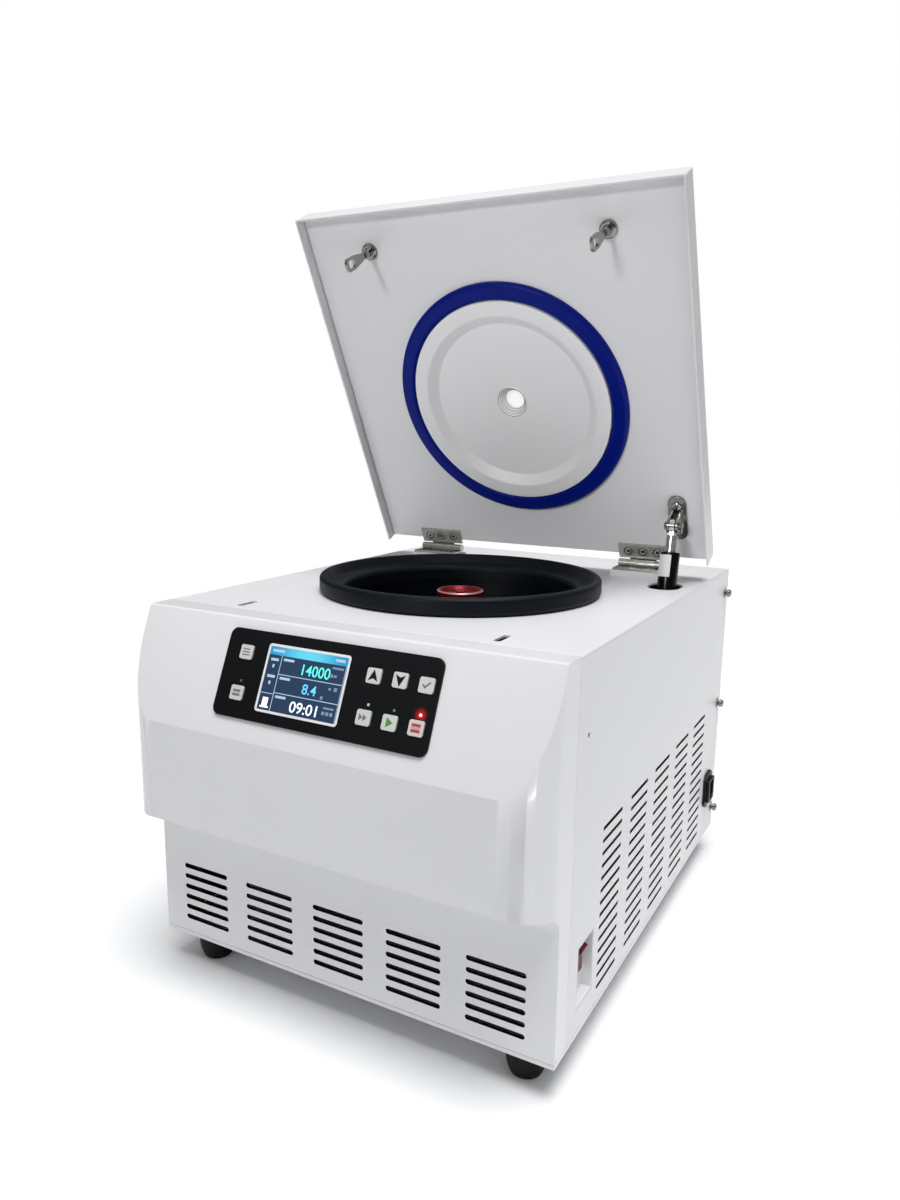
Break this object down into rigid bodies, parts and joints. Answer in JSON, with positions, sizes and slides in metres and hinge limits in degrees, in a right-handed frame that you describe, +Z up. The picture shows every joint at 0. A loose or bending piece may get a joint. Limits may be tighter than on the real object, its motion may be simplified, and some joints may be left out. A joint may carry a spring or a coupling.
{
  "type": "refrigerated microcentrifuge",
  "caption": "White bench cabinet with a raised hinged lid, round chamber with black rim, blue lid seal, sloping control panel, slotted sides and rubber feet.",
  "frame": {"origin": "middle of the overall footprint, at the level of the foot soles", "axes": "+X to the right seen from the front, +Y to the rear, +Z up; the lid is raised at rest"},
  "size_m": [0.456, 0.608, 0.7975],
  "materials": {
    "white_panel": "satin white powder coat",
    "white_moulding": "glossy white moulding",
    "black_rubber": "matt",
    "gasket_rubber": "satin black",
    "blue_seal": "glossy blue",
    "grey_steel": "grey primer",
    "zinc_steel": "zinc plated",
    "dark_bowl": "dark enamel",
    "stainless": "brushed",
    "copper": "drawn tube",
    "foam": "cut foam",
    "motor_grey": "satin",
    "black_enamel": "gloss",
    "fin_aluminium": "plain",
    "black_plastic": "fine texture",
    "panel_black": "gloss overlay",
    "screen": "lit screen",
    "board_green": "solder mask",
    "key_grey": "satin",
    "key_green": "satin",
    "key_red": "satin",
    "rocker_red": "gloss",
    "knob_red": "red anodised",
    "rotor_alloy": "black anodised",
    "cover_alloy": "satin anodised",
    "disc_white": "satin white",
    "liner_white": "satin white",
    "clear_glass": "polished",
    "spring_black": "gloss",
    "rod_chrome": "polished"
  },
  "bodies": {
    "cabinet": {"base_tray": "white_panel", "feet": "black_rubber", "chassis_frame": "grey_steel", "front_fascia": "white_moulding", "top_plate": "white_panel", "left_side_panel": "white_panel", "right_side_panel": "white_panel", "rear_panel": "white_panel", "rear_fan_guard": "black_plastic", "panel_screws": "zinc_steel", "chamber_bowl": "dark_bowl", "evaporator_coil": "copper", "chamber_insulation": "foam", "armour_ring": "stainless", "chamber_gasket": "gasket_rubber", "motor_dampers": "black_rubber", "drive_motor": "motor_grey", "compressor": "black_enamel", "condenser": "fin_aluminium", "fan_shroud": "black_plastic", "refrigerant_line": "copper", "circuit_boards": "board_green", "keypad_bezel": "panel_black", "screen_module": "screen", "power_inlet": "black_plastic", "switch_pocket": "white_panel", "switch_housing": "black_plastic", "hinge_blocks": "white_panel", "hinge_lower_leaves": "stainless", "hinge_pins": "stainless", "lock_housings": "motor_grey", "gas_anchor": "zinc_steel"},
    "lid": {"lid_shell": "white_panel", "lid_liner": "liner_white", "lid_core": "foam", "lid_disc": "disc_white", "lid_seal": "blue_seal", "sight_glass": "clear_glass", "strikers": "stainless", "hinge_upper_leaves": "stainless", "gas_bracket": "zinc_steel"},
    "spring_cylinder": {"gas_fitting": "zinc_steel", "gas_cylinder": "spring_black"},
    "spring_rod": {"gas_rod": "rod_chrome"},
    "rotor_set": {"spindle": "stainless", "rotor": "rotor_alloy"},
    "cover": {"rotor_cover": "cover_alloy"},
    "knob": {"rotor_knob": "knob_red"},
    "fan": {"condenser_fan": "black_plastic"},
    "bolt_left": {"lock_bolt_left": "zinc_steel"},
    "bolt_right": {"lock_bolt_right": "zinc_steel"},
    "rocker": {"switch_rocker": "rocker_red"},
    "key_set_cap": {"key_set": "key_grey"},
    "key_range_cap": {"key_range": "key_grey"},
    "key_up_cap": {"key_up": "key_grey"},
    "key_down_cap": {"key_down": "key_grey"},
    "key_ok_cap": {"key_ok": "key_grey"},
    "key_short_cap": {"key_short": "key_grey"},
    "key_start_cap": {"key_start": "key_green"},
    "key_stop_cap": {"key_stop": "key_red"}
  },
  "joints": [
    {"name": "lid_hinge", "type": "hinge", "parent": "cabinet", "child": "lid", "pos_m": [0, 0.1847, 0.3981], "axis": [1, 0, 0], "range_deg": [0, 62.8]},
    {"name": "spring_swing", "type": "hinge", "parent": "lid", "child": "spring_cylinder", "pos_m": [0.1865, 0.13911, 0.45158], "axis": [1, 0, 0], "range_deg": [-61, 1]},
    {"name": "spring_stroke", "type": "slide", "parent": "spring_cylinder", "child": "spring_rod", "axis": [0, 0.1829, 0.9831], "range_m": [-0.0005, 0.0745]},
    {"name": "rotor_spin", "type": "hinge", "parent": "cabinet", "child": "rotor_set", "pos_m": [0, -0.025, 0.2625], "axis": [0, 0, 1], "continuous": true},
    {"name": "cover_lift", "type": "slide", "parent": "rotor_set", "child": "cover", "axis": [0, 0, -1], "range_m": [-0.09, 0]},
    {"name": "knob_turn", "type": "hinge", "parent": "cover", "child": "knob", "pos_m": [0, -0.025, 0.3845], "axis": [0, 0, 1], "range_deg": [0, 540]},
    {"name": "fan_spin", "type": "hinge", "parent": "cabinet", "child": "fan", "pos_m": [-0.095, 0.277, 0.1385], "axis": [0, 1, 0], "continuous": true},
    {"name": "bolt_left_slide", "type": "slide", "parent": "cabinet", "child": "bolt_left", "axis": [-1, 0, 0], "range_m": [0, 0.0095]},
    {"name": "bolt_right_slide", "type": "slide", "parent": "cabinet", "child": "bolt_right", "axis": [1, 0, 0], "range_m": [0, 0.0095]},
    {"name": "rocker_tip", "type": "hinge", "parent": "cabinet", "child": "rocker", "pos_m": [0.207, -0.192, 0.0993], "axis": [0, -1, 0], "range_deg": [0, 24]},
    {"name": "key_set_press", "type": "slide", "parent": "cabinet", "child": "key_set_cap", "axis": [0, 0.9166, -0.3999], "range_m": [0, 0.0006], "stiffness_N_per_m": 500},
    {"name": "key_range_press", "type": "slide", "parent": "cabinet", "child": "key_range_cap", "axis": [0, 0.9166, -0.3999], "range_m": [0, 0.0006], "stiffness_N_per_m": 500},
    {"name": "key_up_press", "type": "slide", "parent": "cabinet", "child": "key_up_cap", "axis": [0, 0.9166, -0.3999], "range_m": [0, 0.0006], "stiffness_N_per_m": 500},
    {"name": "key_down_press", "type": "slide", "parent": "cabinet", "child": "key_down_cap", "axis": [0, 0.9166, -0.3999], "range_m": [0, 0.0006], "stiffness_N_per_m": 500},
    {"name": "key_ok_press", "type": "slide", "parent": "cabinet", "child": "key_ok_cap", "axis": [0, 0.9166, -0.3999], "range_m": [0, 0.0006], "stiffness_N_per_m": 500},
    {"name": "key_short_press", "type": "slide", "parent": "cabinet", "child": "key_short_cap", "axis": [0, 0.9166, -0.3999], "range_m": [0, 0.0006], "stiffness_N_per_m": 500},
    {"name": "key_start_press", "type": "slide", "parent": "cabinet", "child": "key_start_cap", "axis": [0, 0.9166, -0.3999], "range_m": [0, 0.0006], "stiffness_N_per_m": 500},
    {"name": "key_stop_press", "type": "slide", "parent": "cabinet", "child": "key_stop_cap", "axis": [0, 0.9166, -0.3999], "range_m": [0, 0.0006], "stiffness_N_per_m": 500}
  ],
  "couplings": [
    {"joint": "spring_swing", "follows": "lid_hinge", "ratio": -0.9558},
    {"joint": "spring_stroke", "follows": "lid_hinge", "m_per_rad": 0.0661},
    {"joint": "bolt_right_slide", "follows": "bolt_left_slide", "ratio": 1}
  ]
}
